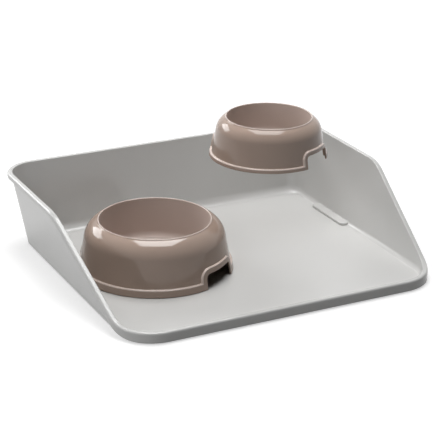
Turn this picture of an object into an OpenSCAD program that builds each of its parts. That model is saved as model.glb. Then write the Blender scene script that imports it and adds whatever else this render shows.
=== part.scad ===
// Double pet bowl: a splash tray with two bowls that lift out of it
// Millimetres, Z up, X across the tray, Y from its low front to its high back
// The origin is on the ground under the middle of the tray

/* [Tray] */
// Width of the tray's base across its side walls
tray_w = 401.5; // [380:0.5:480]
// Depth of the tray's base from its front wall to its back wall
tray_d = 342.5; // [330:0.5:420]
// Height of the back and of the level part of the sides
back_h = 98; // [70:1:140]
// Height of the low front
front_h = 13; // [12:1:24]
// Thickness of the walls
tray_wall = 2.2; // [1.8:0.1:3.5]
// Thickness of the floor
floor_t = 3; // [2.6:0.1:4]
// Lean of all four walls away from upright, in degrees
draft = 11; // [4:0.2:14]
// Distance from the front face to where the slope of a side would reach the front's level
slope_front = 35; // [30:1:60]
// Distance from the front face to where the slope of a side would reach the back's level
slope_back = 183; // [165:1:205]
// Radius of the bend between the slope and the level top of a side
top_bend_r = 60; // [40:5:160]
// Radius of the bend between the slope and the low front
low_bend_r = 66; // [10:2:80]
// Plan radius of the front corners of the base
front_corner_r = 44; // [24:1:52]
// Plan radius of the back corners of the base
back_corner_r = 20; // [19:1:35]
// Radius of the fillet between the floor and the back wall
back_fillet = 13; // [6:0.5:14]
// Radius of the fillet between the floor and a side wall
side_fillet = 7; // [3:0.5:10]
// Radius of the fillet between the floor and the front wall
front_fillet = 3; // [2:0.5:6]

/* [Tray rim] */
// How far the rim stands out from the walls
rim_w = 4.1; // [3.5:0.1:9]
// Thickness of the rim's flat top
rim_t = 2.5; // [2:0.1:3.5]
// Thickness of the skirt that hangs from the rim
skirt_t = 2; // [1.5:0.1:3]
// Depth of the skirt along the sides and the back
skirt_drop = 6; // [4.5:0.5:9]
// Gap under the skirt at the front, where it hangs nearly to the base
skirt_gap = 0.4; // [0.3:0.1:2]
// Distance from the front face at which the skirt starts to grow shallower
skirt_deep = 12; // [5:1:30]
// Distance from the front face at which the skirt has its shallow depth
skirt_shallow = 100; // [60:5:140]
// Radius of the rim's outer edge
rim_outer_r = 2.6; // [1.5:0.1:3.5]
// Radius of the rim's inner edge
rim_inner_r = 1.2; // [0.6:0.1:1.8]

/* [Floor ribs] */
// Length of the raised rib along the foot of each side wall
rib_l = 80; // [40:1:110]
// Distance from the base's back wall to the rib
rib_back = 62; // [40:1:80]
// Distance from the base's side wall to the rib's inner face
rib_reach = 13.6; // [8:0.2:14]
// Height of the rib over the floor
rib_h = 3.5; // [1.5:0.5:8]

/* [Large bowl] */
// Diameter of the large bowl's base
large_base_d = 193; // [185:1:195]
// Width of the large bowl's shoulder, from the edge of its base in to its mouth
large_shoulder_w = 28.5; // [26.5:0.5:36]
// Height of the large bowl's moulding
large_h = 63.5; // [56:0.5:75]
// Radius of the large bowl's shoulder
large_shoulder_r = 25.5; // [21:0.5:27]
// Depth of the large bowl's well
large_well = 54; // [44:0.5:54]
// Width of a grip notch in the large bowl
large_notch_w = 54; // [40:1:60]
// Height of a grip notch in the large bowl
large_notch_h = 18; // [15:0.5:20]
// Corner radius of a grip notch in the large bowl
large_notch_r = 6; // [3:0.5:6]
// Angle of the large bowl's notches from the tray's X axis, in degrees
large_notch_angle = -57; // [-90:1:0]
// Gap between the large bowl's base and the tray's left side
large_side_gap = 17; // [12:0.5:20]
// Gap between the large bowl's base and the tray's back
large_back_gap = 59.5; // [40:0.5:70]

/* [Small bowl] */
// Diameter of the small bowl's base
small_base_d = 152.5; // [145:0.5:156]
// Width of the small bowl's shoulder, from the edge of its base in to its mouth
small_shoulder_w = 22.25; // [20.5:0.25:28]
// Height of the small bowl's moulding
small_h = 51.5; // [46:0.5:60]
// Radius of the small bowl's shoulder
small_shoulder_r = 20; // [16:0.5:21]
// Depth of the small bowl's well
small_well = 42; // [34:0.5:42]
// Width of a grip notch in the small bowl
small_notch_w = 47; // [32:1:48]
// Height of a grip notch in the small bowl
small_notch_h = 16.5; // [12:0.5:18]
// Corner radius of a grip notch in the small bowl
small_notch_r = 5; // [2.5:0.5:6]
// Angle of the small bowl's notches from the tray's X axis, in degrees
small_notch_angle = -58.5; // [-90:0.5:0]
// Gap between the small bowl's base and the tray's right side
small_side_gap = 26.5; // [20:0.5:40]
// Gap between the small bowl's base and the tray's back
small_back_gap = 24.5; // [18:0.5:44]
// How far the small bowl is lifted off the tray's floor
small_lift = 100.5; // [0:0.5:130]

/* [Bowl mouldings] */
// Thickness of a bowl's walls
bowl_wall = 2.2; // [1.6:0.1:3]
// Lean of a bowl's skirt away from upright, in degrees
skirt_lean = 10; // [5:0.5:14]
// Lean of a well's wall away from upright, in degrees
well_lean = 4; // [2:0.5:7]
// Radius between a well's wall and its bottom
well_fillet = 12; // [6:0.5:16]
// Width of the rounded lip round a mouth
lip_w = 1.8; // [1.2:0.1:2.4]
// How far the band round a bowl's base stands out from the skirt
band_proud = 2.4; // [1.2:0.1:3]
// Height of the band on the large bowl
large_band = 9; // [6:0.5:9]
// Width of the band where it rises over a notch of the large bowl
large_arch = 7; // [5:0.5:9]
// Height of the band on the small bowl
small_band = 5; // [4:0.5:7]
// Width of the band where it rises over a notch of the small bowl
small_arch = 5.5; // [4:0.5:7]
// Width of the small lug on the foot of a bowl's band
lug_w = 1.6; // [1:0.1:2.4]
// Height of the lug
lug_h = 2.6; // [1.6:0.2:4]
// How far the lug stands out from the foot of the band
lug_proud = 0.4; // [0.2:0.1:0.7]
// Angle of the large bowl's lug from the tray's X axis, in degrees
large_lug_angle = -111.5; // [-130:0.5:-90]
// Angle of the small bowl's lug from the tray's X axis, in degrees
small_lug_angle = -150.5; // [-170:0.5:-90]

/* [Feet] */
// Diameter of a tray foot
tray_foot_d = 16; // [10:1:20]
// How far the tray's feet stand out below its base
tray_foot_proud = 1; // [0.6:0.1:2]
// How deep the tray's feet sit in its floor
tray_foot_seat = 1.2; // [0.8:0.1:1.5]
// Distance from the base's outline to the middle of a tray foot
tray_foot_inset = 40; // [30:1:60]
// Diameter of a bowl foot
bowl_foot_d = 8; // [6:0.5:9]
// How far a bowl's feet stand out below its base
bowl_foot_proud = 0.5; // [0.3:0.1:1]
// How deep a bowl's feet sit in their bosses
bowl_foot_seat = 2; // [1.5:0.1:3]
// Height of the boss over each bowl foot
boss_h = 4.5; // [3.5:0.5:5]
// Wall of the boss round each bowl foot
boss_wall = 1.4; // [1:0.1:2]
// Angle from a notch to the bowl feet on both sides of it, in degrees
foot_angle = 54; // [40:1:60]

/* [Hidden] */

// Smoothness of round shapes
$fn = 96;
// Steps in a quarter turn of a tray corner, in a bend and in a bowl's arcs
corner_steps = 9;
bend_steps = 7;
bowl_steps = 14;
// Steps in the small rounded edges of the tray
edge_steps = 4;
fillet_steps = 5;
// Radial play of a foot in its seat
foot_play = 0.2;
// Radius of the tray's bottom edge
base_edge_r = 2;
// Overrun of every cut
over = 1;

TRAY = "#b9bab6";
BOWL = "#8f7d76";
RUBBER = "#6f6a66";

// Diameters of the mouths
large_mouth_d = large_base_d - 2 * large_shoulder_w;
small_mouth_d = small_base_d - 2 * small_shoulder_w;

// Places worked out from the sizes
slope = tan(draft);
front_reach = slope * front_h + rim_w;
back_reach = slope * back_h + rim_w;
front_y = -(tray_d + front_reach + back_reach) / 2 + front_reach;
back_y = front_y + tray_d;
face_y = front_y - front_reach;
base_z = tray_foot_proud;
seat_z = base_z + floor_t + bowl_foot_proud;
large_at = [-tray_w / 2 + large_side_gap + large_base_d / 2,
            back_y - large_back_gap - large_base_d / 2, seat_z];
small_at = [tray_w / 2 - small_side_gap - small_base_d / 2,
            back_y - small_back_gap - small_base_d / 2, seat_z + small_lift];

// Points of an arc about c from angle a to angle b
function arc(c, r, a, b, steps) =
    [for (i = [0 : steps]) let (t = a + (b - a) * i / steps) c + r * [cos(t), sin(t)]];

// The side view of the rim: level, bend, slope, bend, level
side_angle = atan((back_h - front_h) / (slope_back - slope_front));
low_tangent = low_bend_r * tan(side_angle / 2);
top_tangent = top_bend_r * tan(side_angle / 2);
low_start = slope_front - low_tangent;
low_end = slope_front + low_tangent * cos(side_angle);
top_start = slope_back - top_tangent * cos(side_angle);
top_end = slope_back + top_tangent;

// Height of the rim at a distance d behind the front face
function rim_height(d) =
    d <= low_start ? front_h
    : d <= low_end ? front_h + low_bend_r - sqrt(pow(low_bend_r, 2) - pow(d - low_start, 2))
    : d <= top_start ? front_h + (d - slope_front) * tan(side_angle)
    : d <= top_end ? back_h - top_bend_r + sqrt(pow(top_bend_r, 2) - pow(top_end - d, 2))
    : back_h;

// Depth of the skirt at a distance d behind the front face
function skirt_depth(d) =
    let (deep = front_h - skirt_gap,
         t = min(max((d - skirt_deep) / (skirt_shallow - skirt_deep), 0), 1))
    deep + (skirt_drop - deep) * t;

// Distances behind the front face at which a side needs a section
side_stations = concat(
    [for (i = [1 : bend_steps]) low_start + low_bend_r * sin(side_angle * i / bend_steps)],
    [skirt_shallow],
    [for (i = [0 : bend_steps]) top_end - top_bend_r * sin(side_angle * (1 - i / bend_steps))]);

// One section's place on the base's outline, with the way that it faces
function corner(cx, cy, r, from) =
    [for (i = [0 : corner_steps]) let (a = from + 90 * i / corner_steps)
        [cx + r * cos(a), cy + r * sin(a), cos(a), sin(a)]];
front_cx = tray_w / 2 - front_corner_r;
front_cy = front_y + front_corner_r;
back_cx = tray_w / 2 - back_corner_r;
back_cy = back_y - back_corner_r;
side_ys = [for (d = side_stations) if (face_y + d > front_cy && face_y + d < back_cy) face_y + d];
outline = concat(
    corner(front_cx, front_cy, front_corner_r, -90),
    [for (y = side_ys) [tray_w / 2, y, 1, 0]],
    corner(back_cx, back_cy, back_corner_r, 0),
    corner(-back_cx, back_cy, back_corner_r, 90),
    [for (i = [len(side_ys) - 1 : -1 : 0]) [-tray_w / 2, side_ys[i], -1, 0]],
    corner(-front_cx, front_cy, front_corner_r, 180));

// Cross section of the tray at one place, as [outward, up] from the base's outline:
// the wall's outside, the rim with its skirt, the wall's inside and the floor's fillet
function section(st) =
    let (d = st[1] + min(st[3], 0) * front_reach - face_y,
         h = rim_height(d),
         out = slope * h + rim_w,
         under = h - rim_t,
         low = h - skirt_depth(d),
         fillet = side_fillet + max(st[3], 0) * (back_fillet - side_fillet)
             + max(-st[3], 0) * (front_fillet - side_fillet),
         mid = [slope * (floor_t + fillet) - tray_wall - fillet / cos(draft), floor_t + fillet],
         inner = slope * h - tray_wall)
    concat(
        arc([-base_edge_r, base_edge_r], base_edge_r, -90, 0, 2),
        [[slope * under, under],
         [out - skirt_t, under],
         [out - skirt_t, low],
         [out, low]],
        arc([out - rim_outer_r, h - rim_outer_r], rim_outer_r, 0, 90, edge_steps),
        arc([inner + rim_inner_r, h - rim_inner_r], rim_inner_r, 90, 180, edge_steps - 1),
        arc(mid, fillet, -draft, -90, fillet_steps));

// The tray's shell, lofted through its sections, with the floor and the base as its ends
module tray_shell() {
    sections = [for (st = outline) section(st)];
    n = len(outline);
    m = len(sections[0]);
    points = [for (i = [0 : n - 1]) for (p = sections[i])
        [outline[i][0] + p[0] * outline[i][2], outline[i][1] + p[0] * outline[i][3], p[1]]];
    faces = concat(
        [for (i = [0 : n - 1]) for (j = [0 : m - 2])
            let (a = i * m + j, b = (i + 1) % n * m + j) [a, a + 1, b + 1]],
        [for (i = [0 : n - 1]) for (j = [0 : m - 2])
            let (a = i * m + j, b = (i + 1) % n * m + j) [a, b + 1, b]],
        [[for (i = [0 : n - 1]) i * m]],
        [[for (i = [n - 1 : -1 : 0]) i * m + m - 1]]);
    polyhedron(points, faces, convexity = 10);
}

// One raised rib at the foot of a side wall, with a rounded front end
module floor_rib() {
    r = rib_reach / 2;
    translate([tray_w / 2 - rib_reach, back_y - rib_back - rib_l, floor_t - over / 2])
        linear_extrude(rib_h + over / 2)
            union() {
                translate([0, r]) square([rib_reach, rib_l - r]);
                translate([r, r]) circle(r);
                translate([r, 0]) square([rib_reach - r, r + over]);
            }
}

// Places of the tray's feet
foot_places = [for (sx = [-1, 1]) for (y = [front_y + tray_foot_inset, back_y - tray_foot_inset])
    [sx * (tray_w / 2 - tray_foot_inset), y]];

module tray() color(TRAY)
    translate([0, 0, base_z])
        difference() {
            union() {
                tray_shell();
                floor_rib();
                mirror([1, 0, 0]) floor_rib();
            }
            for (p = foot_places)
                translate([p[0], p[1], -over])
                    cylinder(d = tray_foot_d + 2 * foot_play, h = tray_foot_seat + over);
        }

module tray_feet() color(RUBBER)
    for (p = foot_places)
        translate([p[0], p[1], 0])
            cylinder(d = tray_foot_d, h = tray_foot_proud + tray_foot_seat);

// Side view of a bowl's wall: skirt, shoulder, lip, well, and the same way back underneath
module bowl_profile(base_d, mouth_d, h, shoulder_r, well) {
    foot_r = base_d / 2 - band_proud;
    top = h - shoulder_r;
    mid_r = foot_r - top * tan(skirt_lean) - shoulder_r / cos(skirt_lean);
    mouth_r = mouth_d / 2;
    lip_r = lip_w / 2;
    lean_in = tan(well_lean);
    bottom = h - well;
    fillet_z = bottom + well_fillet;
    fillet_c = mouth_r - (h - lip_r - fillet_z) * lean_in - well_fillet / cos(well_lean);
    inner_r = shoulder_r - bowl_wall;
    mouth_angle = acos((mouth_r + lip_w - mid_r) / shoulder_r);
    under_angle = acos((mouth_r + bowl_wall - mid_r) / inner_r);
    polygon(concat(
        [[foot_r, 0]],
        arc([mid_r, top], shoulder_r, skirt_lean, mouth_angle, bowl_steps),
        arc([mouth_r + lip_r, h - lip_r], lip_r, 0, 180, bowl_steps / 2),
        arc([fillet_c, fillet_z], well_fillet, -well_lean, -90, bowl_steps / 2),
        [[0, bottom], [0, bottom - bowl_wall]],
        arc([fillet_c, fillet_z], well_fillet + bowl_wall, -90, -well_lean, bowl_steps / 2),
        arc([mid_r, top], inner_r, under_angle, skirt_lean, bowl_steps),
        [[foot_r - bowl_wall / cos(skirt_lean), 0]]));
}

// Outline of a grip notch, and of the band round it when grown
module notch_outline(w, h, corner_r, grow) {
    r = corner_r + grow;
    half = w / 2 + grow;
    top = h + grow;
    translate([-half, -over]) square([2 * half, top - r + over]);
    translate([-half + r, 0]) square([2 * (half - r), top]);
    for (s = [-1, 1]) translate([s * (half - r), top - r]) circle(r);
}

// The notch outline driven outwards from start through both sides of the skirt
module notch_cut(base_d, start, facing, w, h, corner_r, grow)
    for (turn = [0, 180])
        rotate([90, 0, 90 + facing + turn])
            translate([0, 0, start])
                linear_extrude(base_d / 2 - start + over) notch_outline(w, h, corner_r, grow);

// The room from foot up to a line that runs level and rises over the notches,
// between two radii that lean in with the skirt
module band_room(inner_r, outer_r, foot, start, facing, notch_w, notch_h, notch_r, level, arch) {
    lean = tan(skirt_lean);
    top = notch_h + arch + over;
    intersection() {
        rotate_extrude()
            polygon([[inner_r - foot * lean, foot],
                     [outer_r - foot * lean, foot],
                     [outer_r - top * lean, top],
                     [inner_r - top * lean, top]]);
        union() {
            translate([0, 0, foot]) cylinder(r = outer_r + over, h = level - foot);
            notch_cut(2 * outer_r, start, facing, notch_w, notch_h, notch_r, arch);
        }
    }
}

// One bowl: its wall jogs out at the foot to form the band, which is hollow behind
module bowl(base_d, mouth_d, h, shoulder_r, well,
            notch_w, notch_h, notch_r, facing, band, arch, lug_angle) {
    base_r = base_d / 2;
    skirt_r = base_r - band_proud;
    wall = bowl_wall / cos(skirt_lean);
    // The cuts start halfway between the well and the skirt
    start = (mouth_d / 2 + skirt_r - (notch_h + arch + over) * tan(skirt_lean)) / 2;
    boss_r = bowl_foot_d / 2 + foot_play + boss_wall;
    difference() {
        union() {
            difference() {
                union() {
                    rotate_extrude() bowl_profile(base_d, mouth_d, h, shoulder_r, well);
                    band_room(skirt_r - wall / 2, base_r, 0, start, facing,
                              notch_w, notch_h, notch_r, band, arch);
                }
                band_room(skirt_r - wall - over, base_r - wall, -over, start, facing,
                          notch_w, notch_h, notch_r, band - bowl_wall, arch - bowl_wall);
            }
            for (a = foot_angles(facing))
                rotate(a) translate([boss_x(base_d), 0, 0]) cylinder(r = boss_r, h = boss_h);
            rotate(lug_angle) translate([base_r + lug_proud - lug_w / 2, 0, 0])
                cylinder(d = lug_w, h = lug_h);
        }
        notch_cut(base_d, start, facing, notch_w, notch_h, notch_r, 0);
        for (a = foot_angles(facing))
            rotate(a) translate([boss_x(base_d), 0, -over])
                cylinder(d = bowl_foot_d + 2 * foot_play, h = bowl_foot_seat + over);
    }
}

// Angles of a bowl's feet, and how far they are from its middle
function foot_angles(facing) =
    [for (turn = [0, 180]) for (s = [-1, 1]) facing + turn + s * foot_angle];
function boss_x(base_d) =
    base_d / 2 - bowl_wall - bowl_foot_d / 2 - foot_play - boss_wall / 2;

module bowl_feet(base_d, facing)
    for (a = foot_angles(facing))
        rotate(a) translate([boss_x(base_d), 0, -bowl_foot_proud])
            cylinder(d = bowl_foot_d, h = bowl_foot_seat + bowl_foot_proud);

module large_bowl() color(BOWL)
    translate(large_at)
        bowl(large_base_d, large_mouth_d, large_h, large_shoulder_r, large_well,
             large_notch_w, large_notch_h, large_notch_r, large_notch_angle,
             large_band, large_arch, large_lug_angle);

module large_bowl_feet() color(RUBBER)
    translate(large_at) bowl_feet(large_base_d, large_notch_angle);

module small_bowl() color(BOWL)
    translate(small_at)
        bowl(small_base_d, small_mouth_d, small_h, small_shoulder_r, small_well,
             small_notch_w, small_notch_h, small_notch_r, small_notch_angle,
             small_band, small_arch, small_lug_angle);

module small_bowl_feet() color(RUBBER)
    translate(small_at) bowl_feet(small_base_d, small_notch_angle);

tray();
tray_feet();
large_bowl();
large_bowl_feet();
small_bowl();
small_bowl_feet();
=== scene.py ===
import math
from collections import namedtuple

import bmesh
import bpy
from mathutils import Matrix, Vector


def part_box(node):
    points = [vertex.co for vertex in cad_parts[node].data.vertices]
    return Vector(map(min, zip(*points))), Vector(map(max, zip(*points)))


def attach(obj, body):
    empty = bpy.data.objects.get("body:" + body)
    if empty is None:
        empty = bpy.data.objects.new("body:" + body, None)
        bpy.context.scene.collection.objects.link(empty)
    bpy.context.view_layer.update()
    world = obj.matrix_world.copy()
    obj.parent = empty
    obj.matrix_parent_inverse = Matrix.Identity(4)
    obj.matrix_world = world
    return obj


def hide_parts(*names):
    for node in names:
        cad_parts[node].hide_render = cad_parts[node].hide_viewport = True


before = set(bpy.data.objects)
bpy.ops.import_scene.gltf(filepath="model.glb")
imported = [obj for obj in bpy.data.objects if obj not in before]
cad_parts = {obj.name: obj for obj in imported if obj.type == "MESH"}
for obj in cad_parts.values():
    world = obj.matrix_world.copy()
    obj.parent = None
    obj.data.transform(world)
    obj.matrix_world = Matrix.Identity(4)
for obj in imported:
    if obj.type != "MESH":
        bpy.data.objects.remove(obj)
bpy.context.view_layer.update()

# All sizes are in millimetres, and a finished mesh is scaled to metres
MM = 0.001

# Sizes of the tray. Its outer size, its height and its place come from its part in model.glb
TRAY_LOW, TRAY_HIGH = (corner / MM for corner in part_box("tray"))
TRAY_BASE_Z = TRAY_LOW.z
BACK_H = TRAY_HIGH.z - TRAY_LOW.z
FRONT_H = 13
TRAY_WALL = 2.2
FLOOR_T = 3
WALL_SLOPE = math.tan(math.radians(11))
SLOPE_FRONT = 35
SLOPE_BACK = 183
TOP_BEND_R = 60
LOW_BEND_R = 66
FRONT_CORNER_R = 44
BACK_CORNER_R = 20
BACK_FILLET = 13
SIDE_FILLET = 7
FRONT_FILLET = 3
BASE_EDGE_R = 2
RIM_W = 4.1
RIM_T = 2.5
RIM_OUTER_R = 2.6
RIM_INNER_R = 1.2
SKIRT_T = 2
SKIRT_DROP = 6
SKIRT_GAP = 0.4
SKIRT_DEEP = 12
SKIRT_SHALLOW = 100
SKIRT_INNER_R = 0.8
SKIRT_EDGE_R = 0.6
# How far in the section reaches below and on the floor: less than the tightest corner's radius
UNDER_REACH = BACK_CORNER_R - 4
FLOOR_REACH = BACK_CORNER_R - 1

# Sizes of the ribs at the foot of the tray's side walls
RIB_L = 80
RIB_BACK = 62
RIB_REACH = 13.6
RIB_H = 3.5
RIB_SUNK = FLOOR_T / 2
RIB_END_R = RIB_REACH * 0.45
RIB_EDGE_R = 1

# Sizes of the two bowls. Their outer sizes and places come from their parts in model.glb
BowlSizes = namedtuple("BowlSizes", "shoulder_w shoulder_r well notch_w notch_h notch_r turn "
                                    "band arch lug_turn")
LARGE = BowlSizes(28.5, 25.5, 54, 54, 18, 6, -57, 9, 7, -111.5)
SMALL = BowlSizes(22.25, 20, 42, 47, 16.5, 5, -58.5, 5, 5.5, -150.5)
BOWL_WALL = 2.2
SKIRT_LEAN = math.radians(10)
WELL_LEAN = math.radians(4)
WELL_FILLET = 12
# Radius of the disc that closes the middle of a well's bottom
MIDDLE_R = 3
LIP_W = 1.8
LIP_R = LIP_W / 2
LIP_START = 40
LIP_DIP_W = 1.2
BAND_PROUD = 2.4
BAND_EDGE_R = 0.8
BAND_FOOT_R = 0.5
NOTCH_EDGE_R = 0.6
LEG_CORNER_R = 0.7
LUG_W = 1.6
LUG_H = 2.6
LUG_PROUD = 0.4
LUG_EDGE_W = 0.3
LUG_EDGE_H = 0.4

# Sizes of the rubber feet, and of the bosses that hold a bowl's feet
TRAY_FOOT_D = 16
TRAY_FOOT_SEAT = 1.2
TRAY_FOOT_INSET = 40
BOWL_FOOT_D = 8
BOWL_FOOT_SEAT = 2
BOSS_H = 4.5
BOSS_WALL = 1.4
BOSS_LEAD = 0.2
BOSS_EDGE = 0.4
FOOT_PLAY = 0.2
FOOT_TURN = 54
FOOT_EDGE_R = 0.4
FOOT_EDGE_CUT = 0.12
FOOT_TOP_EDGE = 0.1
# The dished middle of a foot's sole: its heights, and its reach as shares of the radius
SOLE_MIDDLE_H = 0.15
SOLE_EDGE_H = 0.1
SOLE_FLAT = 0.55
SOLE_END = 0.62

# Distance from a rounded edge at which a flat face is held flat
HOLD = 0.5
# Distance at which the points on a turned piece's axis are joined
WELD = 0.001
# Angles of the points in a small rounded edge
QUARTER_STEPS = 5
QUARTER = [math.pi / 2 * i / QUARTER_STEPS for i in range(QUARTER_STEPS + 1)]

# Steps in the curves of the tray's section and outline, and of the ribs
SECTION_STEPS = 8
CORNER_STEPS = 24
SIDE_STEPS = 90
RIB_END_STEPS = 8
RIB_EDGE_STEPS = 6

# Steps in the curves of a bowl
NOTCH_TOP_STEPS = 8
NOTCH_ARCH_STEPS = 10
NOTCH_SIDE_STEPS = 3
LEG_STEPS = 4
FOOT_LINE_STEPS = 30
UNDER_FILLET_STEPS = 10
UNDER_SHOULDER_STEPS = 16
SKIRT_INSIDE_STEPS = 10
SKIRT_OUTSIDE_STEPS = 14
SHOULDER_STEPS = 28
LIP_STEPS = 12
WELL_FILLET_STEPS = 14
# Steps of the well's fillet that have the finish of its wall, whose lighter colour is painted
# light in the well's shade
WELL_FILLET_WALL = 8
# Places of the points between two ends, as shares of the way
DIP_SHARES = (0.25, 0.5, 0.75)
WELL_SHARES = (0.03, 0.25, 0.5, 0.75, 0.97)

# Steps round the small turned pieces
FOOT_STEPS = 40
BOSS_STEPS = 32
LUG_STEPS = 16


# Shapes of outlines and sections


def arc(centre, radius, start, end, steps):
    """Points of an arc, from angle start to angle end in degrees"""
    angles = [math.radians(start + (end - start) * i / steps) for i in range(steps + 1)]
    return [Vector((centre[0] + radius * math.cos(a), centre[1] + radius * math.sin(a)))
            for a in angles]


def rounded(points, radii, steps):
    """An open outline with each inner corner turned into an arc, held flat on both sides of it"""
    corners = [Vector(p) for p in points]
    shape = [corners[0]]
    for before, corner, after, radius in zip(corners, corners[1:], corners[2:], radii):
        back = (before - corner).normalized()
        ahead = (after - corner).normalized()
        half = math.acos(max(-1, min(1, back.dot(ahead)))) / 2
        reach = radius / math.tan(half)
        middle = corner + (back + ahead).normalized() * (radius / math.sin(half))
        first = corner + back * reach - middle
        last = corner + ahead * reach - middle
        turn = first.angle_signed(last)
        shape.append(corner + back * (reach + HOLD))
        for i in range(steps + 1):
            shape.append(middle + Matrix.Rotation(-turn * i / steps, 2) @ first)
        shape.append(corner + ahead * (reach + HOLD))
    shape.append(corners[-1])
    return shape


# Meshes


def new_piece(name, bm, materials, body):
    """Turns a bmesh in millimetres into a smooth piece that rides on a body"""
    bmesh.ops.scale(bm, vec=(MM, MM, MM), verts=bm.verts)
    bmesh.ops.recalc_face_normals(bm, faces=bm.faces)
    for face in bm.faces:
        face.smooth = True
    mesh = bpy.data.meshes.new(name)
    bm.to_mesh(mesh)
    bm.free()
    for material in materials:
        mesh.materials.append(material)
    piece = bpy.data.objects.new(name, mesh)
    bpy.context.scene.collection.objects.link(piece)
    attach(piece, body)
    return piece


def loft(bm, rings, finishes):
    """Draws the first ring, extrudes it once for every other ring and closes both ends. Each ring
    has the number of a material in finishes, for the faces that lead up to it"""
    ring = [bm.verts.new(p) for p in rings[0]]
    edges = [bm.edges.new(pair) for pair in zip(ring, ring[1:] + ring[:1])]
    bmesh.ops.contextual_create(bm, geom=edges)
    for points, finish in zip(rings[1:], finishes[1:]):
        grown = set(bmesh.ops.extrude_edge_only(bm, edges=edges)["geom"])
        for face in grown:
            if isinstance(face, bmesh.types.BMFace):
                face.material_index = finish
        following = []
        for vert in ring:
            across = next(e for e in vert.link_edges if e.other_vert(vert) in grown)
            following.append(across.other_vert(vert))
        for vert, point in zip(following, points):
            vert.co = point
        ring = following
        edges = [bm.edges.get(pair) for pair in zip(ring, ring[1:] + ring[:1])]
    for face in bmesh.ops.contextual_create(bm, geom=edges)["faces"]:
        face.material_index = finishes[-1]


def turned(bm, profile, place, steps):
    """Spins a profile of (radius, height) points round an upright axis at place"""
    part = bmesh.new()
    verts = [part.verts.new((r, 0, z)) for r, z in profile]
    edges = [part.edges.new(pair) for pair in zip(verts, verts[1:])]
    bmesh.ops.spin(part, geom=verts + edges, cent=(0, 0, 0), axis=(0, 0, 1), angle=math.tau,
                   steps=steps, use_merge=True)
    bmesh.ops.remove_doubles(part, verts=part.verts, dist=WELD)
    bmesh.ops.translate(part, vec=place, verts=part.verts)
    mesh = bpy.data.meshes.new("turned")
    part.to_mesh(mesh)
    part.free()
    bm.from_mesh(mesh)
    bpy.data.meshes.remove(mesh)


def bevelled(bm, edges, radius, steps):
    bmesh.ops.bevel(bm, geom=edges, affect="EDGES", offset=radius, segments=steps,
                    profile=0.5, material=-1)


# Tray


side_angle = math.atan((BACK_H - FRONT_H) / (SLOPE_BACK - SLOPE_FRONT))
low_tangent = LOW_BEND_R * math.tan(side_angle / 2)
top_tangent = TOP_BEND_R * math.tan(side_angle / 2)
low_start = SLOPE_FRONT - low_tangent
low_end = SLOPE_FRONT + low_tangent * math.cos(side_angle)
top_start = SLOPE_BACK - top_tangent * math.cos(side_angle)
top_end = SLOPE_BACK + top_tangent
base_half_w = TRAY_HIGH.x - WALL_SLOPE * BACK_H - RIM_W
front_reach = WALL_SLOPE * FRONT_H + RIM_W
front_y = TRAY_LOW.y + front_reach
back_y = TRAY_HIGH.y - WALL_SLOPE * BACK_H - RIM_W


def rim_height(d):
    """Height of the rim at a distance d behind the front face: level, bend, slope, bend, level"""
    if d <= low_start:
        return FRONT_H
    if d <= low_end:
        return FRONT_H + LOW_BEND_R - math.sqrt(LOW_BEND_R ** 2 - (d - low_start) ** 2)
    if d <= top_start:
        return FRONT_H + (d - SLOPE_FRONT) * math.tan(side_angle)
    if d <= top_end:
        return BACK_H - TOP_BEND_R + math.sqrt(TOP_BEND_R ** 2 - (top_end - d) ** 2)
    return BACK_H


def skirt_depth(d):
    """Depth of the skirt at a distance d behind the front face"""
    deep = FRONT_H - SKIRT_GAP
    share = max(0, min(1, (d - SKIRT_DEEP) / (SKIRT_SHALLOW - SKIRT_DEEP)))
    return deep + (SKIRT_DROP - deep) * share


def tray_section(x, y, nx, ny):
    """Cross section of the tray at a place on the base's outline that faces the way (nx, ny), as
    points in space"""
    d = y + min(ny, 0) * front_reach - TRAY_LOW.y
    h = rim_height(d)
    out = WALL_SLOPE * h + RIM_W
    under = h - RIM_T
    low = h - skirt_depth(d)
    fillet = (SIDE_FILLET + max(ny, 0) * (BACK_FILLET - SIDE_FILLET)
              + max(-ny, 0) * (FRONT_FILLET - SIDE_FILLET))
    points = [
        (-UNDER_REACH, 0),
        (0, 0),
        (WALL_SLOPE * under, under),
        (out - SKIRT_T, under),
        (out - SKIRT_T, low),
        (out, low),
        (out, h),
        (WALL_SLOPE * h - TRAY_WALL, h),
        (WALL_SLOPE * FLOOR_T - TRAY_WALL, FLOOR_T),
        (-FLOOR_REACH, FLOOR_T),
    ]
    radii = [BASE_EDGE_R, SKIRT_INNER_R, SKIRT_INNER_R, SKIRT_EDGE_R, SKIRT_EDGE_R,
             RIM_OUTER_R, RIM_INNER_R, fillet]
    section = rounded(points, radii, SECTION_STEPS)
    return [Vector((x + p.x * nx, y + p.x * ny, TRAY_BASE_Z + p.y)) for p in section]


def tray_outline():
    """Places round the base's outline, each with the way that it faces"""
    front_c = (base_half_w - FRONT_CORNER_R, front_y + FRONT_CORNER_R)
    back_c = (base_half_w - BACK_CORNER_R, back_y - BACK_CORNER_R)
    gap = (back_c[1] - front_c[1]) / SIDE_STEPS

    def corner(centre, radius, start):
        angles = [math.radians(start + 90 * i / CORNER_STEPS) for i in range(CORNER_STEPS + 1)]
        return [(centre[0] + radius * math.cos(a), centre[1] + radius * math.sin(a),
                 math.cos(a), math.sin(a)) for a in angles]

    right = corner(front_c, FRONT_CORNER_R, -90)
    right += [(base_half_w, front_c[1] + gap * i, 1, 0) for i in range(1, SIDE_STEPS)]
    right += corner(back_c, BACK_CORNER_R, 0)
    return right + [(-x, y, -nx, ny) for x, y, nx, ny in reversed(right)]


def make_tray(material):
    sections = [tray_section(*place) for place in tray_outline()]
    rings = [list(ring) for ring in zip(*sections)]
    bm = bmesh.new()
    loft(bm, rings, [0] * len(rings))
    piece = new_piece("tray_moulding", bm, [material], "tray")
    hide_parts("tray")


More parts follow.
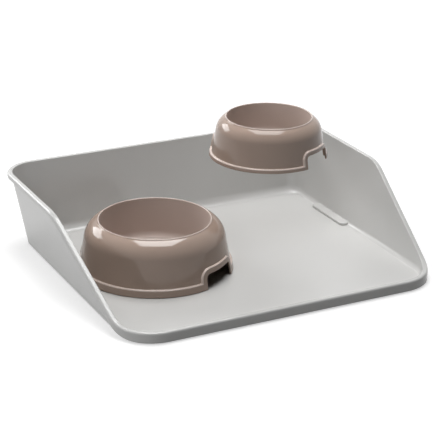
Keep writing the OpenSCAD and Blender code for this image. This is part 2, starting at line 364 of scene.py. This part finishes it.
def make_rib(side, name, material):
    """A raised rib at the foot of a side wall"""
    bm = bmesh.new()
    bmesh.ops.create_cube(bm, size=1)
    bmesh.ops.scale(bm, vec=(RIB_REACH, RIB_L, RIB_H + RIB_SUNK), verts=bm.verts)
    upright = [e for e in bm.edges if abs(e.verts[0].co.z - e.verts[1].co.z) > RIB_H / 2]
    bevelled(bm, upright, RIB_END_R, RIB_END_STEPS)
    top = [e for e in bm.edges if min(v.co.z for v in e.verts) > 0]
    bevelled(bm, top, RIB_EDGE_R, RIB_EDGE_STEPS)
    middle = Vector((side * (base_half_w - RIB_REACH / 2), back_y - RIB_BACK - RIB_L / 2,
                     TRAY_BASE_Z + FLOOR_T + (RIB_H - RIB_SUNK) / 2))
    bmesh.ops.translate(bm, vec=middle, verts=bm.verts)
    new_piece(name, bm, [material], "tray")


# Bowls


def notch_line(size, grow, radius):
    """A quarter of the line that lies grow above a bowl's foot and round its notch, as (angle,
    height). Round the notch it is scaled to the width that the band has there"""
    round_notch = grow * size.arch / size.band
    half = size.notch_w / 2
    side_z = size.notch_h - size.notch_r
    corner_r = LEG_CORNER_R - max(0, grow - size.band)
    top_gap = (half - size.notch_r) / NOTCH_TOP_STEPS
    flat = [(top_gap * i, size.notch_h + round_notch) for i in range(NOTCH_TOP_STEPS)]
    arch = arc((half - size.notch_r, side_z), size.notch_r + round_notch, 90, 0,
               NOTCH_ARCH_STEPS)
    foot_z = grow + corner_r
    side_gap = (foot_z - side_z) / NOTCH_SIDE_STEPS
    side = [(half + round_notch, side_z + side_gap * i) for i in range(1, NOTCH_SIDE_STEPS)]
    corner = arc((half + round_notch + corner_r, foot_z), corner_r, 180, 270, LEG_STEPS)
    near = [(math.asin(p[0] / radius), p[1]) for p in [*flat, *arch, *side, *corner]]
    start = near[-1][0]
    foot_gap = (math.pi / 2 - start) / FOOT_LINE_STEPS
    return near + [(start + foot_gap * i, grow) for i in range(1, FOOT_LINE_STEPS + 1)]


def all_round(quarter):
    """The four quarters of a line that is given for the first, as (angle, height)"""
    half = quarter + [(math.pi - a, z) for a, z in reversed(quarter[:-1])]
    return half + [(math.pi + a, z) for a, z in half[1:-1]]


# Ways to leave an edge's corner, as (height, distance out)
UP = (1, 0)
DOWN = (-1, 0)
OUT = (0, 1)
IN = (0, -1)

# Stretches of a bowl's surface, numbered as its finishes are. The edges' lighter finish is a
# painted highlight on the band's crest and the lip
# The well wall's finish is lighter than the bowl's own colour: painted light in the well's shade
OUTSIDE, PAINTED_HIGHLIGHT_EDGE, WELL_WALL_PAINTED_LIGHT, WELL_BOTTOM = range(4)


class Bowl:
    """The sizes of a bowl and the rings of its mesh. A ring's points are (angle from the notch's
    middle, radius, height)"""

    def __init__(self, node, size):
        low, high = (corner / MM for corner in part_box(node))
        self.node = node
        self.size = size
        self.place = Vector(((low.x + high.x) / 2, (low.y + high.y) / 2, low.z))
        self.base_r = (high.x - low.x) / 2
        self.height = high.z - low.z
        self.foot_r = self.base_r - BAND_PROUD
        self.mouth_r = self.base_r - size.shoulder_w
        self.top = self.height - size.shoulder_r
        self.bottom = self.height - size.well
        shoulder_r = self.skirt_r(self.top, 0) - size.shoulder_r / math.cos(SKIRT_LEAN)
        self.shoulder = (shoulder_r, self.top)
        fillet_z = self.bottom + WELL_FILLET
        wall_h = self.height - LIP_R - fillet_z
        fillet_r = (self.mouth_r - wall_h * math.tan(WELL_LEAN)
                    - WELL_FILLET / math.cos(WELL_LEAN))
        self.fillet = (fillet_r, fillet_z)
        self.columns = self.even_columns()

    def even_columns(self):
        """Angles of the mesh's columns, spread evenly where the notches no longer matter"""
        line = notch_line(self.size, self.size.band, self.base_r)
        steps = [0]
        for (a, z), (b, w) in zip(line, line[1:]):
            steps.append(steps[-1] + math.hypot((b - a) * self.base_r, w - z))
        quarter = [(math.pi / 2 * step / steps[-1], 0) for step in steps]
        return [a for a, _ in all_round(quarter)]

    def skirt_r(self, z, out):
        """Radius at a height, at a distance out from the skirt's outside"""
        return self.foot_r - z * math.tan(SKIRT_LEAN) + out

    def shoulder_angle(self, r):
        return math.degrees(math.acos((r - self.shoulder[0]) / self.size.shoulder_r))

    def lower_ring(self, grow, out):
        """A ring that follows the notches, grow above the foot and a distance out from the
        skirt's outside"""
        line = notch_line(self.size, grow, self.base_r - BAND_PROUD / 2 + out / 2)
        return [(a, self.skirt_r(z, out), z) for a, z in all_round(line)]

    def edge_rings(self, grow, out, radius, start, end):
        """Rings of a rounded edge with its corner at grow and out, which comes from the way start
        and leaves the way end"""
        rings = []
        for a in QUARTER:
            s = radius * (1 - math.sin(a))
            e = radius * (1 - math.cos(a))
            rings.append(self.lower_ring(grow + s * start[0] + e * end[0],
                                         out + s * start[1] + e * end[1]))
        return rings

    def level_rings(self, profile):
        return [[(a, p.x, p.y) for a in self.columns] for p in profile]

    def between(self, first, out, count):
        """Rings from one that follows the notches up to the level ring under the shoulder"""
        rings = []
        for i in range(1, count):
            t = i / count
            ring = []
            for (a, _, z), b in zip(first, self.columns):
                level = z + (self.top - z) * t
                ring.append((a + (b - a) * t, self.skirt_r(level, out), level))
            rings.append(ring)
        return rings

    def underside(self):
        """From the middle of the well's bottom up to the skirt's inside"""
        z = self.bottom - BOWL_WALL
        inner_r = self.size.shoulder_r - BOWL_WALL
        start = math.degrees(math.acos((self.mouth_r + BOWL_WALL - self.shoulder[0]) / inner_r))
        profile = [Vector((MIDDLE_R, z)), Vector((self.fillet[0] - HOLD, z))]
        profile += arc(self.fillet, WELL_FILLET + BOWL_WALL, -90, -math.degrees(WELL_LEAN),
                       UNDER_FILLET_STEPS)
        profile += arc(self.shoulder, inner_r, start, math.degrees(SKIRT_LEAN),
                       UNDER_SHOULDER_STEPS)
        return self.level_rings(profile)

    def skirt_inside(self):
        """Down the skirt's inside, out behind the band and down to the foot"""
        inside = -BOWL_WALL / math.cos(SKIRT_LEAN)
        behind = BAND_PROUD + inside
        ledge = self.size.band - BOWL_WALL
        step = self.edge_rings(ledge, inside, NOTCH_EDGE_R, UP, OUT)
        rings = self.between(step[0], inside, SKIRT_INSIDE_STEPS)[::-1] + step
        rings += self.edge_rings(ledge, behind, NOTCH_EDGE_R, IN, DOWN)
        rings.append(self.lower_ring(NOTCH_EDGE_R + HOLD, behind))
        return rings + self.edge_rings(0, behind, NOTCH_EDGE_R, UP, OUT)

    def band_face(self):
        """From the foot up the band's face"""
        band = self.size.band
        heights = (NOTCH_EDGE_R + HOLD, band / 2, band - BAND_EDGE_R - HOLD)
        rings = self.edge_rings(0, BAND_PROUD, NOTCH_EDGE_R, IN, UP)
        return rings + [self.lower_ring(h, BAND_PROUD) for h in heights]

    def band_crest(self):
        """Over the band's crest and up onto the skirt"""
        rings = self.edge_rings(self.size.band, BAND_PROUD, BAND_EDGE_R, DOWN, IN)
        return rings + self.edge_rings(self.size.band, 0, BAND_FOOT_R, OUT, UP)

    def shoulder_and_lip(self):
        """Profiles of the shoulder, with the soft dip outside the lip, and of the lip"""
        r = self.size.shoulder_r
        dip_start = self.shoulder_angle(self.mouth_r + LIP_W + LIP_DIP_W)
        dip = arc(self.shoulder, r, self.shoulder_angle(self.mouth_r + LIP_W), 90, 1)[0]
        lip = arc((self.mouth_r + LIP_R, self.height - LIP_R), LIP_R, LIP_START, 180, LIP_STEPS)
        shoulder = arc(self.shoulder, r, math.degrees(SKIRT_LEAN), dip_start, SHOULDER_STEPS)
        shoulder += [shoulder[-1].lerp(dip, t).lerp(dip.lerp(lip[0], t), t) for t in DIP_SHARES]
        return shoulder, lip

    def well(self):
        """Profiles of the well's wall and bottom"""
        top = Vector((self.mouth_r, self.height - LIP_R))
        fillet = arc(self.fillet, WELL_FILLET, -math.degrees(WELL_LEAN), -90, WELL_FILLET_STEPS)
        wall = [top.lerp(fillet[0], t) for t in WELL_SHARES] + fillet[:WELL_FILLET_WALL]
        floor = [(self.fillet[0] - HOLD, self.bottom), (self.fillet[0] / 2, self.bottom),
                 (MIDDLE_R, self.bottom)]
        return wall, fillet[WELL_FILLET_WALL:] + [Vector(p) for p in floor]

    def stretches(self):
        """All rings, in stretches of one finish"""
        crest = self.band_crest()
        shoulder, lip = self.shoulder_and_lip()
        wall, bottom = self.well()
        skirt = self.between(crest[-1], 0, SKIRT_OUTSIDE_STEPS)
        return [(OUTSIDE, self.underside() + self.skirt_inside() + self.band_face()),
                # The band's crest gets a lighter colour: a painted highlight
                (PAINTED_HIGHLIGHT_EDGE, crest),
                (OUTSIDE, skirt + self.level_rings(shoulder)),
                # The lip gets a lighter colour: a painted highlight
                (PAINTED_HIGHLIGHT_EDGE, self.level_rings(lip)),
                # The well's wall gets a lighter colour: painted light in its shade
                (WELL_WALL_PAINTED_LIGHT, self.level_rings(wall)),
                (WELL_BOTTOM, self.level_rings(bottom))]

    def foot_places(self):
        """Places of the feet, beside both notches"""
        reach = self.base_r - BOWL_WALL - BOWL_FOOT_D / 2 - FOOT_PLAY - BOSS_WALL / 2
        angles = [math.radians(self.size.turn + turn + s * FOOT_TURN)
                  for turn in (0, 180) for s in (-1, 1)]
        return [self.place + Vector((reach * math.cos(a), reach * math.sin(a), 0))
                for a in angles]


def make_bowl(name, bowl, materials):
    turn = math.radians(bowl.size.turn)
    rings = []
    finishes = []
    for finish, stretch in bowl.stretches():
        for ring in stretch:
            rings.append([(r * math.cos(a + turn), r * math.sin(a + turn), z)
                          for a, r, z in ring])
            finishes.append(finish)
    bm = bmesh.new()
    loft(bm, rings, finishes)
    bmesh.ops.translate(bm, vec=bowl.place, verts=bm.verts)

    # Bosses that hold the feet, and the lug
    hole_r = BOWL_FOOT_D / 2 + FOOT_PLAY
    boss_r = hole_r + BOSS_WALL
    boss = [(0, BOWL_FOOT_SEAT), (hole_r, BOWL_FOOT_SEAT), (hole_r, BOSS_LEAD),
            (hole_r + BOSS_LEAD, 0), (boss_r - BOSS_LEAD, 0), (boss_r, BOSS_LEAD),
            (boss_r, BOSS_H - BOSS_EDGE), (boss_r - BOSS_EDGE, BOSS_H), (0, BOSS_H)]
    for place in bowl.foot_places():
        turned(bm, boss, place, BOSS_STEPS)
    lug_r = LUG_W / 2
    lug = [(0, 0), (lug_r, 0), (lug_r, LUG_H - LUG_EDGE_H), (lug_r - LUG_EDGE_W, LUG_H),
           (0, LUG_H)]
    lug_a = math.radians(bowl.size.lug_turn)
    lug_x = bowl.base_r + LUG_PROUD - lug_r
    lug_place = bowl.place + Vector((lug_x * math.cos(lug_a), lug_x * math.sin(lug_a), 0))
    turned(bm, lug, lug_place, LUG_STEPS)

    piece = new_piece(name, bm, materials, bowl.node)
    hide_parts(bowl.node)
    return piece


# Feet


def make_feet(name, node, places, radius, height, material, body):
    """Round rubber feet with a softened edge and a shallow dished sole"""
    low_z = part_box(node)[0].z / MM
    profile = [(0, SOLE_MIDDLE_H), (radius * SOLE_FLAT, SOLE_EDGE_H), (radius * SOLE_END, 0),
               (radius - FOOT_EDGE_R, 0), (radius - FOOT_EDGE_CUT, FOOT_EDGE_CUT),
               (radius, FOOT_EDGE_R), (radius, height - FOOT_TOP_EDGE),
               (radius - FOOT_TOP_EDGE, height), (0, height)]
    bm = bmesh.new()
    for x, y in places:
        turned(bm, profile, Vector((x, y, low_z)), FOOT_STEPS)
    piece = new_piece(name, bm, [material], body)
    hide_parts(node)
    return piece


def make_tray_feet(material):
    places = [(side * (base_half_w - TRAY_FOOT_INSET), y) for side in (-1, 1)
              for y in (front_y + TRAY_FOOT_INSET, back_y - TRAY_FOOT_INSET)]
    make_feet("tray_foot_pads", "tray_feet", places, TRAY_FOOT_D / 2,
              TRAY_BASE_Z + TRAY_FOOT_SEAT, material, "tray")


def make_bowl_feet(bowl, material):
    node = bowl.node + "_feet"
    places = [place.xy for place in bowl.foot_places()]
    height = bowl.place.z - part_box(node)[0].z / MM + BOWL_FOOT_SEAT
    return make_feet(bowl.node + "_foot_pads", node, places, BOWL_FOOT_D / 2, height, material,
                     bowl.node)


# Materials

# Grain is the strength of the finest bumps
Finish = namedtuple("Finish", "colour roughness grain specular", defaults=(0.5,))
TRAY_FINISH = Finish((0.6, 0.598, 0.586), 0.17, 0.08)
BOWL_FINISHES = {
    "bowl_plastic": Finish((0.31, 0.231, 0.187), 0.06, 0.04, 0.36),
    # A lighter colour on the band's crest and the lip: a painted highlight
    "bowl_painted_edge_highlight": Finish((0.5, 0.41, 0.365), 0.15, 0.04),
    # Lighter than the bowl's own colour: painted light in the shade of the well's wall. The
    # bottom keeps the own colour
    "bowl_well_wall_painted_light": Finish((0.49, 0.403, 0.363), 0.4, 0.3),
    "bowl_bottom": Finish((0.3, 0.23, 0.193), 0.4, 0.3),
}
RUBBER_FINISH = Finish((0.1, 0.095, 0.09), 0.7, 0.6, 0.3)
IOR = 1.5
# How far the colour and the roughness wander, as shares of them
TINT_SPAN = 0.025
POLISH_SPAN = 0.12
# The tray's satin floor: its roughness, how far it goes past the floor's top, and the height over
# which it then turns glossy
SATIN_ROUGHNESS = 0.34
SATIN_MARGIN = 0.1
SATIN_BLEND = 1
# Scale and detail of each noise, and the depths of the two that bump the surface
DRIFT_NOISE = (14, 3)
POLISH_NOISE = (60, 4)
WAVE_NOISE = (110, 2)
GRAIN_NOISE = (2200, 2)
WAVE_STRENGTH = 0.25
WAVE_DEPTH = 0.08
GRAIN_DEPTH = 0.02


def noise(nodes, links, place, scale, detail):
    texture = nodes.new("ShaderNodeTexNoise")
    texture.inputs["Scale"].default_value = scale
    texture.inputs["Detail"].default_value = detail
    links.new(place, texture.inputs["Vector"])
    return texture.outputs["Fac"]


def ranged(nodes, links, value, start, end, low, high):
    """Low where the value is start, high where it is end, and level outside them"""
    level = nodes.new("ShaderNodeMapRange")
    level.inputs["From Min"].default_value = start
    level.inputs["From Max"].default_value = end
    level.inputs["To Min"].default_value = low
    level.inputs["To Max"].default_value = high
    links.new(value, level.inputs["Value"])
    return level.outputs["Result"]


def bump(nodes, links, height, strength, depth):
    bumped = nodes.new("ShaderNodeBump")
    bumped.inputs["Strength"].default_value = strength
    bumped.inputs["Distance"].default_value = depth * MM
    links.new(height, bumped.inputs["Height"])
    return bumped


def plastic(name, finish, satin_below=None):
    """Moulded plastic or rubber: an even colour that wanders a little, with the faint waviness of
    a mould. Below the height satin_below it is satin"""
    material = bpy.data.materials.new(name)
    material.use_nodes = True
    nodes = material.node_tree.nodes
    links = material.node_tree.links
    shader = nodes["Principled BSDF"]
    shader.inputs["IOR"].default_value = IOR
    shader.inputs["Specular IOR Level"].default_value = finish.specular
    place = nodes.new("ShaderNodeTexCoord").outputs["Object"]

    tint = nodes.new("ShaderNodeMix")
    tint.data_type = "RGBA"
    tint.inputs["A"].default_value = (*[c * (1 - TINT_SPAN) for c in finish.colour], 1)
    tint.inputs["B"].default_value = (*[c * (1 + TINT_SPAN) for c in finish.colour], 1)
    links.new(noise(nodes, links, place, *DRIFT_NOISE), tint.inputs["Factor"])
    links.new(tint.outputs["Result"], shader.inputs["Base Color"])

    polish = ranged(nodes, links, noise(nodes, links, place, *POLISH_NOISE), 0, 1,
                    finish.roughness * (1 - POLISH_SPAN), finish.roughness * (1 + POLISH_SPAN))
    if satin_below:
        parts = nodes.new("ShaderNodeSeparateXYZ")
        links.new(place, parts.inputs["Vector"])
        satin = ranged(nodes, links, parts.outputs["Z"], satin_below * MM,
                       (satin_below + SATIN_BLEND) * MM, SATIN_ROUGHNESS / finish.roughness, 1)
        both = nodes.new("ShaderNodeMath")
        both.operation = "MULTIPLY"
        links.new(polish, both.inputs[0])
        links.new(satin, both.inputs[1])
        polish = both.outputs["Value"]
    links.new(polish, shader.inputs["Roughness"])

    wavy = bump(nodes, links, noise(nodes, links, place, *WAVE_NOISE), WAVE_STRENGTH, WAVE_DEPTH)
    grained = bump(nodes, links, noise(nodes, links, place, *GRAIN_NOISE), finish.grain,
                   GRAIN_DEPTH)
    links.new(wavy.outputs["Normal"], grained.inputs["Normal"])
    links.new(grained.outputs["Normal"], shader.inputs["Normal"])
    return material


# Floor and background

FLOOR_HALF_W = 20
FLOOR_BOUNCE = 0.3
FLOOR_SEEN = 0.55
# The floor's own light, near the object and from a distance on, in metres
FLOOR_GLOW_NEAR = 0.55
FLOOR_GLOW_FAR = 1
GLOW_START = 0.6
GLOW_END = 2.5


def seen_by_eye(nodes, links):
    """One for a camera ray, a mirror ray and a clear ray, and zero for light that only bounces"""
    path = nodes.new("ShaderNodeLightPath")
    total = path.outputs["Is Camera Ray"]
    for name in ("Is Glossy Ray", "Is Transmission Ray"):
        add = nodes.new("ShaderNodeMath")
        add.operation = "ADD"
        add.use_clamp = True
        links.new(total, add.inputs[0])
        links.new(path.outputs[name], add.inputs[1])
        total = add.outputs["Value"]
    return total


def diffuse(nodes, grey):
    shader = nodes.new("ShaderNodeBsdfDiffuse")
    shader.inputs["Color"].default_value = (grey, grey, grey, 1)
    return shader.outputs["BSDF"]


def make_stage():
    """The floor: white to the eye where no shadow falls on it, and a grey that bounces little
    light"""
    material = bpy.data.materials.new("white_floor")
    material.use_nodes = True
    nodes = material.node_tree.nodes
    links = material.node_tree.links
    nodes.remove(nodes["Principled BSDF"])
    place = nodes.new("ShaderNodeTexCoord").outputs["Object"]
    reach = nodes.new("ShaderNodeVectorMath")
    reach.operation = "LENGTH"
    links.new(place, reach.inputs[0])
    glow = nodes.new("ShaderNodeEmission")
    links.new(ranged(nodes, links, reach.outputs["Value"], GLOW_START, GLOW_END,
                     FLOOR_GLOW_NEAR, FLOOR_GLOW_FAR), glow.inputs["Strength"])
    shown = nodes.new("ShaderNodeAddShader")
    links.new(diffuse(nodes, FLOOR_SEEN), shown.inputs[0])
    links.new(glow.outputs["Emission"], shown.inputs[1])
    pick = nodes.new("ShaderNodeMixShader")
    links.new(seen_by_eye(nodes, links), pick.inputs["Fac"])
    links.new(diffuse(nodes, FLOOR_BOUNCE), pick.inputs[1])
    links.new(shown.outputs["Shader"], pick.inputs[2])
    links.new(pick.outputs["Shader"], nodes["Material Output"].inputs["Surface"])
    bm = bmesh.new()
    bmesh.ops.create_grid(bm, x_segments=1, y_segments=1, size=FLOOR_HALF_W)
    mesh = bpy.data.meshes.new("floor")
    bm.to_mesh(mesh)
    bm.free()
    mesh.materials.append(material)
    floor = bpy.data.objects.new("floor", mesh)
    bpy.context.scene.collection.objects.link(floor)


def make_world():
    """A white background that puts no light on the object"""
    world = bpy.data.worlds.new("studio")
    world.use_nodes = True
    nodes = world.node_tree.nodes
    background = nodes["Background"]
    background.inputs["Color"].default_value = (1, 1, 1, 1)
    links = world.node_tree.links
    links.new(seen_by_eye(nodes, links), background.inputs["Strength"])
    bpy.context.scene.world = world


# Light

# Softboxes, by their compass angle, height angle, distance and size in metres, and power
Softbox = namedtuple("Softbox", "azimuth elevation distance width depth watts")
OVERHEAD = Softbox(63, 81, 2.2, 1.3, 1.63, 48)
GLINT = OVERHEAD._replace(watts=26)
BACK = Softbox(114, 26, 2.6, 1.35, 0.8, 21)
BOWL_TOP_FILL = Softbox(63, 88, 2.2, 1.0, 1.0, 16)
LOW_LEFT_FILL = Softbox(185, 15, 2.4, 1.0, 0.8, 10)
LEFT_FILL = Softbox(205, 38, 2.4, 1.0, 0.8, 8)
AIM = Vector((0, 0, 0.06))


def add_softbox(name, box):
    """A rectangular lamp that looks at the object"""
    lamp = bpy.data.lights.new(name, "AREA")
    lamp.shape = "RECTANGLE"
    lamp.size = box.width
    lamp.size_y = box.depth
    lamp.energy = box.watts
    holder = bpy.data.objects.new(name, lamp)
    bpy.context.scene.collection.objects.link(holder)
    a = math.radians(box.azimuth)
    e = math.radians(box.elevation)
    towards = Vector((math.cos(a) * math.cos(e), math.sin(a) * math.cos(e), math.sin(e)))
    holder.location = AIM + towards * box.distance
    holder.rotation_euler = towards.to_track_quat("Z", "Y").to_euler()
    holder.visible_camera = False
    return holder


def group_of(name, pieces):
    group = bpy.data.collections.new(name)
    for piece in pieces:
        group.objects.link(piece)
    return group


def shine_on(lamp, pieces):
    """Lets a lamp light these pieces alone"""
    lamp.light_linking.receiver_collection = group_of(lamp.name + "_lit", pieces)


def shine_past(lamp, pieces):
    """Keeps a lamp's light off these pieces and their shadows out of it"""
    apart = group_of(lamp.name + "_apart", pieces)
    for entry in apart.collection_objects:
        entry.light_linking.link_state = "EXCLUDE"
    lamp.light_linking.receiver_collection = apart
    lamp.light_linking.blocker_collection = apart


def make_lamps(resting, lifted):
    """Lights the tray, the pieces of the resting bowl and those of the lifted bowl"""
    bowls = resting + lifted
    # The photograph shows no shadow of the lifted bowl, so the overhead light has a twin for it
    shine_past(add_softbox("overhead_softbox", OVERHEAD), lifted)
    shine_on(add_softbox("overhead_softbox_for_lifted_bowl", OVERHEAD), lifted)
    add_softbox("back_softbox", BACK)
    top_fill = add_softbox("bowl_top_fill", BOWL_TOP_FILL)
    shine_on(top_fill, bowls)
    # Only the highlights of this one show
    glint = add_softbox("bowl_glint", GLINT)
    glint.visible_diffuse = False
    shine_on(glint, bowls)
    for fill in (top_fill, add_softbox("low_left_fill", LOW_LEFT_FILL),
                 add_softbox("left_fill", LEFT_FILL)):
        fill.visible_glossy = False


# Camera

IMAGE_PX = 433
FOCAL_PX = 1560.8
SENSOR_W = 36
SHIFT_PX = 0.5
CAMERA_AT = Vector((-814.07, -1598.51, 774.13)) * MM
CAMERA_PITCH = math.radians(21.801)
CAMERA_YAW = math.radians(26.815)
CAMERA_ROLL = math.radians(0.5755)


def make_camera():
    data = bpy.data.cameras.new("camera")
    data.sensor_width = SENSOR_W
    data.lens = FOCAL_PX / IMAGE_PX * SENSOR_W
    data.shift_x = -SHIFT_PX / IMAGE_PX
    data.shift_y = SHIFT_PX / IMAGE_PX
    camera = bpy.data.objects.new("camera", data)
    bpy.context.scene.collection.objects.link(camera)
    upright = Matrix.Rotation(math.pi / 2 - CAMERA_PITCH, 4, "X")
    turn = Matrix.Rotation(-CAMERA_YAW, 4, "Z")
    roll = Matrix.Rotation(CAMERA_ROLL, 4, "Z")
    camera.matrix_world = Matrix.Translation(CAMERA_AT) @ turn @ upright @ roll
    bpy.context.scene.camera = camera


make_camera()
tray_plastic = plastic("tray_plastic", TRAY_FINISH, TRAY_BASE_Z + FLOOR_T + SATIN_MARGIN)
bowl_plastics = [plastic(name, finish) for name, finish in BOWL_FINISHES.items()]
foot_rubber = plastic("foot_rubber", RUBBER_FINISH)

make_tray(tray_plastic)
make_rib(1, "tray_rib_right", tray_plastic)
make_rib(-1, "tray_rib_left", tray_plastic)
large_bowl = Bowl("large_bowl", LARGE)
small_bowl = Bowl("small_bowl", SMALL)
resting = [make_bowl("large_bowl_moulding", large_bowl, bowl_plastics)]
lifted = [make_bowl("small_bowl_moulding", small_bowl, bowl_plastics)]
make_tray_feet(foot_rubber)
resting.append(make_bowl_feet(large_bowl, foot_rubber))
lifted.append(make_bowl_feet(small_bowl, foot_rubber))

make_stage()
make_world()
make_lamps(resting, lifted)

scene = bpy.context.scene
scene.view_settings.view_transform = "Standard"
